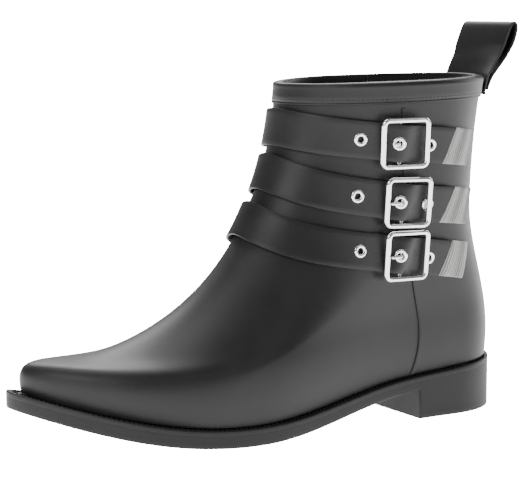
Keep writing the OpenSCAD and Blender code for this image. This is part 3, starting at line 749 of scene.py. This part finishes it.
hem_line = collar_spot(band_a, 1.0, band_h - 2.5)
hem_at, hem_way = evenly(hem_line, stitch_pitch)
hem_up = unit(np.cross(hem_way, upward))
hem_up *= np.sign(np.sum(hem_up * (hem_at - shaft_middle) * [1, 1, 0], axis=1))[:, None]
hem_stitches = beads("collar_hem_stitches", hem_at, hem_way, hem_up, 1.7, 0.6, 0.32, trim_rubber)
hand_in(hem_stitches, "boot", "trim_rubber")


# ==== Loop backing tape ====
# A folded black cotton tape, stitched inside the collar behind the pull loop. Its free edge
# stands up a little above the rim on the inner side.
# Woven cotton: flat black, with a coarser thread across than along.
cotton_tape = cloth("black_cotton_tape", "#111112", "#1f1f21", 0.8, rib=0.5)
tape_a = np.linspace(158, 254, 70)
tape_t = 0.7
tape_face = lining_face - 1.2
tape_top = mix(1.0, 1.6, ramp(tape_a, 209, 215))
tape_rows = []
tape_drops = (14, 10, 6, 3, 0, -0.5, -1)      # below the top edge, and above it where negative
for height, drops in ((tape_face, tape_drops), (tape_face - tape_t, tape_drops[::-1])):
    for drop in drops:
        row = at(1 - max(drop, 0) / shaft_rise, tape_a, height)
        row[:, 2] -= min(drop, 0) * tape_top
        tape_rows.append(row)
tape = grid_piece("loop_backing_tape", np.stack(tape_rows, axis=1), cotton_tape,
                  wrap_columns=True, caps=(0, -1))
hand_in(tape, "boot", "woven_tape", "loop_backing_tape")


# ==== Wrap straps ====
# Three straps die-cut from smooth rubber sheet, 20 mm wide. Each runs from the inner seam strip
# round the front, under its buckle, to a slanted end that is bonded to an elastic tab.
# Strap rubber is smooth sheet: the same black, with a satin face and hardly any grain.
strap_rubber = rubber("die_cut_strap_rubber", "#1f1e20", "#292829", 0.42, 0.5, grain=0.08)
strap_w = 20.0
# Rows of three hold the top, middle and bottom strap. Angles are in degrees round the boot.
strap_line = [[0.903, 0.878, 0.852, 0.822], [0.803, 0.755, 0.707, 0.657], [0.703, 0.645, 0.574, 0.472]]
strap_line_end = 135
strap_turn = 15                     # angle over which the two sides' lines join at the front
strap_end_a = [112.5, 119.5, 125.5]
strap_end_slant = [3, 3, 2]
front_lift = [0.8, 0.8, 1.5]        # how far the straps stand off over the instep
buckle_a = [82.1, 92.6, 101.4]
buckle_turn = [6, 6, 6.5]           # the buckles hang a little out of line with the straps
hump_h = 4.5                        # height to which a strap rises over its centre bar
hump_w = 7.0
tail_lift = 1.0                     # height by which it lies on the folded chape behind the bar
eyelet_s = [[-20.6, -1.9, 18.0], [-25.1, -3.0, 15.4], [-24.9, -2.6, 18.2]]
eyelet_hole = 1.6
eyelet_wall = 0.5
barrel = eyelet_hole + eyelet_wall
punch_play = 0.05


def strap_u(i, a):
    """u of strap i's middle line at angle a."""
    return curve(strap_line[i], (np.hypot(a, strap_turn) - strap_turn) / strap_line_end)


def strap_mid(i, a):
    return ring(strap_u(i, a), a)


def strap_dir(i, a):
    return unit(strap_mid(i, a + 1.5) - strap_mid(i, a - 1.5))


def strap_row(i, a, v):
    """Row value u at share v (-1 to 1) of the strap's width."""
    u = strap_u(i, a)
    return u + v * strap_w / 2 / np.linalg.norm(np.cross(rise(u, a), strap_dir(i, a)), axis=-1)


def fitting(i, a):
    """Place of a fitting on strap i: origin, direction along the strap, up, and outward."""
    t = strap_dir(i, a)
    b = unit(np.cross(outward(strap_u(i, a), a), t))
    return strap_mid(i, a), t, b, np.cross(t, b)


def buckle_seat(i):
    """Place of a buckle: like a fitting on the strap, but turned a little about the outward axis."""
    origin, t, b, n = fitting(i, buckle_a[i])
    c, s = math.cos(math.radians(buckle_turn[i])), math.sin(math.radians(buckle_turn[i]))
    return origin, c * t + s * b, c * b - s * t, n


buckles = [buckle_seat(i) for i in range(3)]


def reach_s(i, a):
    """Distance along strap i from its buckle's centre bar, towards the heel."""
    return (strap_mid(i, a) - buckles[i][0]) @ buckles[i][1]


def strap_h(i, a):
    """Height of the strap's underside over the upper."""
    far = a - buckle_a[i]
    s = np.where(np.abs(far) > 60, 60 * np.sign(far), reach_s(i, a))
    lifted = tail_lift * np.clip(s / 6 + 0.5, 0, 1)
    over_instep = front_lift[i] * np.maximum(np.cos(np.radians(a)), 0) ** 2
    return strap_gap + lifted + (hump_h - lifted) * np.exp(-((s / hump_w) ** 2)) + over_instep


def angle_s(i, s):
    """Angle at which strap i is s away from its centre bar."""
    low, high = 20.0, 140.0
    for _ in range(24):
        middle = (low + high) / 2
        low, high = (middle, high) if reach_s(i, middle) < s else (low, middle)
    return (low + high) / 2


def strap_top(i, a):
    return at(strap_u(i, a), a, strap_h(i, a) + strap_t)


def eyelet_seat(i, s):
    """Place of an eyelet, flat on the strap's face."""
    a = angle_s(i, s)
    t = unit(strap_top(i, a + 1.5) - strap_top(i, a - 1.5))
    b = unit(np.cross(outward(strap_u(i, a), a), t))
    return strap_top(i, a), t, b, np.cross(t, b)


def place(seat_frame, local):
    """Points given in a fitting's own frame, moved to where the fitting sits."""
    origin, t, b, n = seat_frame
    local = np.asarray(local, float)
    return origin + local[..., 0:1] * t + local[..., 1:2] * b + local[..., 2:3] * n


def lathe(line, count=48):
    """A grid from turning a line of [radius, height] about a fitting's outward axis."""
    turns = np.linspace(0, math.tau, count, endpoint=False)
    return np.stack([np.stack([r * np.cos(turns), r * np.sin(turns), np.full(count, float(z))], axis=-1)
                     for r, z in line])


def cut_holes(piece, cutters):
    """Cuts the cutters out of the piece and removes them."""
    for cutter in cutters:
        hole = piece.modifiers.new("hole", "BOOLEAN")
        hole.object = cutter
        hole.solver = "EXACT"
    bpy.context.view_layer.update()
    cut = bpy.data.meshes.new_from_object(piece.evaluated_get(bpy.context.evaluated_depsgraph_get()))
    piece.modifiers.clear()
    piece.data = cut
    cut.shade_smooth()
    cut.set_sharp_from_angle(angle=math.radians(40))
    for cutter in cutters:
        bpy.data.objects.remove(cutter)


# Section of a strap as [share of the half width, share of the thickness]: cut edges, just eased.
strap_section = [(-1, 0.2), (-0.985, 0.02), (-0.9, 0), (-0.45, 0), (0, 0), (0.45, 0), (0.9, 0), (0.985, 0.02),
                 (1, 0.2), (1, 0.75), (0.985, 0.93), (0.955, 1), (0.7, 1), (0.35, 1), (0, 1), (-0.35, 1),
                 (-0.7, 1), (-0.955, 1), (-0.985, 0.93), (-1, 0.75)]
for i in range(3):
    t = np.linspace(0, 1, 300)
    columns = []
    for v, h in strap_section:
        u = strap_row(i, -seam_a(strap_u(i, -90)), v)
        start_a = -seam_a(u) + spread(u, medial_strip_w / 2) + 1.4
        a = mix(start_a, strap_end_a[i] + strap_end_slant[i] * v, t)
        columns.append(at(strap_row(i, a, v), a, strap_h(i, a) + h * strap_t))
    strap = grid_piece(f"wrap_strap_{i + 1}", np.stack(columns, axis=1), strap_rubber,
                       wrap_columns=True, caps=(0, -1))
    punch = [(barrel + punch_play, -3), (barrel + punch_play, 3)]
    cutters = [grid_piece("punch", place(eyelet_seat(i, s), lathe(punch)), strap_rubber,
                          wrap_columns=True, caps=(0, -1)) for s in eyelet_s[i]]
    cut_holes(strap, cutters)
    hand_in(strap, "boot", "strap_rubber", f"wrap_strap_{i + 1}")


# ==== Buckle chapes ====
# A short piece of the same rubber sheet under each long strap, folded round the buckle's centre
# bar and bonded to itself and to the shaft.
for i in range(3):
    finish_node(f"buckle_chape_{i + 1}", strap_rubber)


# ==== Eyelets ====
# Three brass eyelets in each strap, nickel plated: a domed flange on the face, and a barrel
# through the hole that is rolled over behind.
def plated(name, bright, dull, roughness):
    """Polished nickel plate over metal: near-white, mirror-like, with faint polishing marks."""
    material = bpy.data.materials.new(name)
    material.use_nodes = True
    tree = material.node_tree
    surface = tree.nodes["Principled BSDF"]
    where = add_node(tree, "ShaderNodeTexCoord").outputs["Object"]
    haze = add_node(tree, "ShaderNodeTexNoise", {"Vector": where, "Scale": 1000 / 6, "Detail": 3.0})
    marks = add_node(tree, "ShaderNodeTexNoise",
                     {"Vector": where, "Scale": 1000 / 0.5, "Detail": 4.0, "Roughness": 0.7})
    tint = add_node(tree, "ShaderNodeMix",
                    {0: haze.outputs["Fac"], 6: linear(dull), 7: linear(bright)}, data_type="RGBA")
    gloss = add_node(tree, "ShaderNodeMapRange",
                     {"Value": marks.outputs["Fac"], "To Min": roughness - 0.04, "To Max": roughness + 0.06})
    wave = add_node(tree, "ShaderNodeBump",
                    {"Height": marks.outputs["Fac"], "Strength": 0.06, "Distance": 0.0001})
    tree.links.new(tint.outputs[2], surface.inputs["Base Color"])
    tree.links.new(gloss.outputs[0], surface.inputs["Roughness"])
    tree.links.new(wave.outputs[0], surface.inputs["Normal"])
    surface.inputs["Metallic"].default_value = 1.0
    return material


# Bright nickel after tumbling: a near-mirror with a trace of haze.
nickel_plate = plated("polished_nickel_plate", "#fbfbfb", "#efeff0", 0.1)
# Section of an eyelet as [radius, height over the strap's face]: bore, rolled end, barrel, flange.
eyelet_line = [(eyelet_hole, 0.25), (eyelet_hole, -1.55), (eyelet_hole + 0.08, -1.68), (barrel + 0.12, -1.72),
               (barrel + 0.3, -1.64), (barrel + 0.3, -1.5), (barrel, -1.45), (barrel, 0.08), (3.35, 0.06),
               (3.55, 0.12), (3.6, 0.25), (3.48, 0.48), (3.15, 0.68), (2.7, 0.8), (2.25, 0.76), (1.85, 0.6),
               (1.66, 0.42)]
for i in range(3):
    grids = [place(eyelet_seat(i, s), lathe(eyelet_line)) for s in eyelet_s[i]]
    eyelets = grid_piece(f"eyelets_{i + 1}", grids[0], nickel_plate, wrap_rows=True, wrap_columns=True,
                         extra=grids[1:], sharp=60)
    hand_in(eyelets, "boot", "nickel_plate", f"eyelets_{i + 1}")


# ==== Elastic tabs ====
# Ribbed elastic with a silver-grey metallic thread, sewn under each strap's slanted end and into
# the back of the shaft. It lets the fastened strap give while the boot is pulled on.
elastic_thread = 0.45
rib_pitch = 1.9
metal_share = 0.35            # how much of the face is metallic thread
tab_a = [23.5, 23, 14.5]      # degrees round the boot that each tab shows
tab_tuck = 4.0                # degrees of it under the strap
tab_base = 0.3
tab_t = 1.5
# Elastic webbing of bright silver metallic thread, with painted shade darkening the hollows between the ribs.
elastic_silver = cloth("silver_ribbed_elastic", "#777775", "#fafaf8", elastic_thread,
                       roughness=0.4, sheen=0.2, rib=elastic_thread / rib_pitch)
elastic_silver.node_tree.nodes["Principled BSDF"].inputs["Metallic"].default_value = metal_share
for i in range(3):
    t = np.linspace(0, 1, 240)[:, None]
    whole_a = tab_a[i] + tab_tuck
    tucked = 1 - ramp(t, 0.6 * tab_tuck / whole_a, tab_tuck / whole_a)
    v = np.linspace(-0.99, 0.99, 25)[None, :] * (1 - 0.12 * tucked)
    a = strap_end_a[i] + strap_end_slant[i] * v - tab_tuck + whole_a * t
    u = strap_row(i, a, v)
    flat = at(u, a, tab_base)
    length = np.linalg.norm(np.diff(flat[:, 12], axis=0), axis=1).sum()
    ribs = np.abs(np.sin(math.pi * t * round(length / rib_pitch))) ** 0.6
    edge = 1 - ramp(np.abs(v), 0.94, 0.99)
    face = at(u, a, tab_base + tab_t * mix(0.35, 1.0, ribs * mix(0.7, 1.0, edge)))
    tab = grid_piece(f"elastic_tab_{i + 1}", np.concatenate([face, flat[:, ::-1]], axis=1), elastic_silver,
                     wrap_columns=True, caps=(0, -1), sharp=70)
    hand_in(tab, "boot", "elastic_webbing", f"elastic_tab_{i + 1}")


# ==== Buckle frames ====
# Die-cast zinc frames with rounded, bevelled bars, bowed to follow the ankle, and a round centre
# bar on two lugs. They are barrel polished and nickel plated.
buckle_l = 28.5
buckle_h = 27.5
rail_w = 3.0
rail_t = 2.4
rail_z = 5.3
bar_offset = 2.0                    # the centre bar lies in front of the frame's middle
bar_r = 1.0
bar_z = 2.7
corner_r = 2.9
bow = 0.0024
# Section of a rail as [outward share of the half width, height]: a domed top over short sides.
rail_section = [(-1, 0.5), (-0.8, 0.1), (-0.4, 0), (0.4, 0), (0.8, 0.1), (1, 0.5), (1, 1.0), (0.95, 1.35),
                (0.82, 1.72), (0.6, 2.05), (0.33, 2.3), (0, rail_t), (-0.33, 2.3), (-0.6, 2.05),
                (-0.82, 1.72), (-0.95, 1.35), (-1, 1.0)]
# Half of a lug's outline as [half width, height], from the rail down past the bar.
lug_line = [(1.6, rail_z + 0.5), (1.5, rail_z - 0.6), (1.3, bar_z - 0.4), (0.9, bar_z - 0.85),
            (0.5, bar_z - 1.0)]


def frame_bow(x):
    """How far the frame drops at x, to follow the ankle."""
    return -bow * x * x


def join(piece, *parts):
    """Adds the parts to the piece's mesh and removes them."""
    whole = bmesh.new()
    for part in (piece, *parts):
        whole.from_mesh(part.data)
    whole.to_mesh(piece.data)
    whole.free()
    for part in parts:
        bpy.data.objects.remove(part)


def rounded_path(half_x, half_y, radius, per_corner=10, per_side=14):
    """Points and outward directions round a rounded rectangle."""
    spots, ways = [], []
    for corner, (sx, sy) in enumerate([(1, 1), (-1, 1), (-1, -1), (1, -1)]):
        cx, cy = sx * (half_x - radius), sy * (half_y - radius)
        for k in range(per_corner + 1):
            angle = math.pi / 2 * (corner + k / per_corner)
            way = np.array([math.cos(angle), math.sin(angle)])
            spots.append(np.array([cx, cy]) + radius * way)
            ways.append(way)
        nx, ny = [(-1, 1), (-1, -1), (1, -1), (1, 1)][corner]
        ahead = np.array([nx * (half_x - radius), ny * (half_y - radius)]) + radius * way
        last = spots[-1]
        for k in range(1, per_side):
            spots.append(mix(last, ahead, k / per_side))
            ways.append(way)
    return np.array(spots), np.array(ways)


for i in range(3):
    spots, ways = rounded_path((buckle_l - rail_w) / 2, (buckle_h - rail_w) / 2, corner_r)
    rails = []
    for share, z in rail_section:
        flat = spots + ways * share * rail_w / 2
        top = rail_z + z + frame_bow(flat[:, 0])
        rails.append(np.stack([bar_offset + flat[:, 0], flat[:, 1], top], axis=-1))
    rails = np.stack(rails, axis=1)
    post = buckle_h / 2 - rail_w / 2
    turns = np.linspace(0, math.tau, 24, endpoint=False)
    bar = np.stack([np.stack([bar_r * np.cos(turns), np.full(24, y), bar_z + bar_r * np.sin(turns)], axis=-1)
                    for y in (-post, -post * 0.5, post * 0.5, post)])
    buckle = grid_piece(f"buckle_frame_{i + 1}", place(buckles[i], rails), nickel_plate,
                        wrap_rows=True, wrap_columns=True, sharp=48)
    centre_bar = grid_piece("centre_bar", place(buckles[i], bar), nickel_plate,
                            wrap_columns=True, caps=(0, -1))
    lugs = []
    for side in (-1, 1):
        grid = []
        for share in (-1.2, -1.0, 1.0, 1.2):
            trim = 0.85 if abs(share) > 1.1 else 1.0
            half = [(x * trim, side * post + share, z) for x, z in lug_line]
            other = [(-x * trim, side * post + share, z) for x, z in reversed(lug_line)]
            grid.append(half + other)
        lugs.append(grid_piece("lug", place(buckles[i], np.array(grid)), nickel_plate,
                               wrap_columns=True, caps=(0, -1)))
    join(buckle, centre_bar, *lugs)
    hand_in(buckle, f"buckle_{i + 1}", "nickel_plate", f"buckle_frame_{i + 1}")


# ==== Buckle prongs ====
# A drawn wire tongue that is rolled round the centre bar, passes through the strap's eyelet and
# lies on the frame's front bar. Nickel plated like the frame.
prong_r = 0.8
prong_spread = 1.12                 # the wire is pressed a little wider than it is high
roll_t = 0.8
bar_play = 0.05
prong_end = [-5.9, -9.9, -9.9]      # how far each prong reaches forward of the bar
for i in range(3):
    hole = eyelet_s[i][1]
    over = strap_gap + hump_h           # height of the strap's underside at the bar
    rest = rail_z + rail_t + prong_r    # height at which the prong lies on the front bar
    prong_line = [[min(hole + 1.2, -1.1), over - 1.3], [hole + 0.95, over - 0.6], [hole + 0.3, over + 0.6],
                  [hole - 0.3, over + 1.9], [hole - 1.6, over + 2.9], [mix(hole - 1.6, prong_end[i], 0.6), rest],
                  [prong_end[i] + 0.5, rest - 0.05], [prong_end[i], rest - 0.1]]
    t = np.linspace(0, 1, 60)
    middle = curve(prong_line, t)
    way = unit(np.gradient(middle, axis=0))
    size = prong_r * np.sqrt(np.clip(1 - (np.clip(t - 0.93, 0, 1) / 0.07) ** 2, 0.01, 1)) * mix(1.0, 0.86, t)
    turns = np.linspace(0, math.tau, 20, endpoint=False)
    pin = np.stack([np.stack([m[0] - w[1] * r * np.sin(turns), prong_spread * r * np.cos(turns),
                              m[1] + w[0] * r * np.sin(turns)], axis=-1) for m, w, r in zip(middle, way, size)])
    inside, outside = bar_r + bar_play, bar_r + bar_play + roll_t
    hoop_line = [(inside, -1.2), (inside + 0.15, -1.3), (outside - 0.2, -1.3), (outside, -1.1),
                 (outside, 1.1), (outside - 0.2, 1.3), (inside + 0.15, 1.3), (inside, 1.2)]
    turns = np.linspace(0, math.tau, 36, endpoint=False)
    hoop = np.stack([np.stack([r * np.cos(turns), np.full(36, y), bar_z + r * np.sin(turns)], axis=-1)
                     for r, y in hoop_line])
    prong = grid_piece(f"buckle_prong_{i + 1}", place(buckles[i], pin), nickel_plate,
                       wrap_columns=True, caps=(0, -1))
    roll = grid_piece("roll", place(buckles[i], hoop), nickel_plate, wrap_rows=True, wrap_columns=True)
    join(prong, roll)
    hand_in(prong, f"prong_{i + 1}", "nickel_plate", f"buckle_prong_{i + 1}")


# ==== Pull loop ====
# A strip of rubber sheet, 39 mm wide, folded into a flat loop. Both ends are bonded on top of each
# other to the outside of the collar, and the fold leans back over the heel.
# Loop rubber is satin sheet like the straps', from a slightly darker batch.
loop_rubber = rubber("die_cut_loop_rubber", "#1c1b1c", "#252425", 0.46, 0.5, grain=0.1)
loop_y = 2.6
loop_w = 39.0
loop_t = 1.4
loop_hug_depth = 0.75               # share of the collar's curve that the bonded ends follow
loop_turn = 0.14                    # how far the fold twists off square, as x for each y
# The strip's middle line as x and z, from the inner end up, over the fold and down to the outer end.
loop_line = [[131.8, 173], [132.1, 177], [132.6, 181], [133.3, 184.5], [134.6, 188], [136, 193], [138.4, 198],
             [140.2, 203], [142.3, 208], [144, 211.6], [146.6, 212.6], [147.6, 209.5], [146.4, 204],
             [143.2, 197.5], [139.8, 190.5], [136.8, 185], [135, 181.5], [134.1, 178.5], [133.7, 175.5]]


def slope(v, start, end):
    """0 before start, 1 after end, and straight between."""
    return np.clip((v - start) / (end - start), 0, 1)


def collar_sag(y):
    """How far the back of the collar curves forward at y."""
    return back_round[-1] * (1 - (1 - (np.abs(y) / shaft_half[-1]) ** heel_power) ** (1 / heel_power))


loop_share = np.linspace(0, 1, 220)
loop_mid = curve(loop_line, loop_share)
loop_next, loop_last = np.minimum(loop_share + 0.01, 1), np.maximum(loop_share - 0.01, 0)
loop_way = unit(curve(loop_line, loop_next) - curve(loop_line, loop_last))
loop_hug = loop_hug_depth - loop_hug_depth * slope(loop_mid[:, 1], 176, 194)
loop_twist = loop_turn * slope(loop_mid[:, 1], 184, 200)
half_w, half_t = loop_w / 2, loop_t / 2
across = [*np.linspace(-half_w + 1.2, half_w - 1.2, 15)]
loop_section = [(y, half_t) for y in across]
loop_section += [(half_w - 0.3, half_t * 0.94), (half_w, half_t * 0.5)]
loop_section += [(half_w, -half_t * 0.5), (half_w - 0.3, -half_t * 0.94)]
loop_section += [(y, -half_t) for y in reversed(across)]
loop_section += [(-half_w + 0.3, -half_t * 0.94), (-half_w, -half_t * 0.5)]
loop_section += [(-half_w, half_t * 0.5), (-half_w + 0.3, half_t * 0.94)]
loop_columns = []
for y, h in loop_section:
    x = loop_mid[:, 0] - h * loop_way[:, 1] - collar_sag(loop_y + y) * loop_hug - loop_twist * y
    loop_columns.append(np.stack([x, np.full_like(x, loop_y + y), loop_mid[:, 1] + h * loop_way[:, 0]], axis=-1))
pull_loop = grid_piece("pull_loop_strip", np.stack(loop_columns, axis=1), loop_rubber,
                       wrap_columns=True, caps=(0, -1))
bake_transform(pull_loop)
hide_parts("pull_loop", "loop_front_end", "loop_back_end")
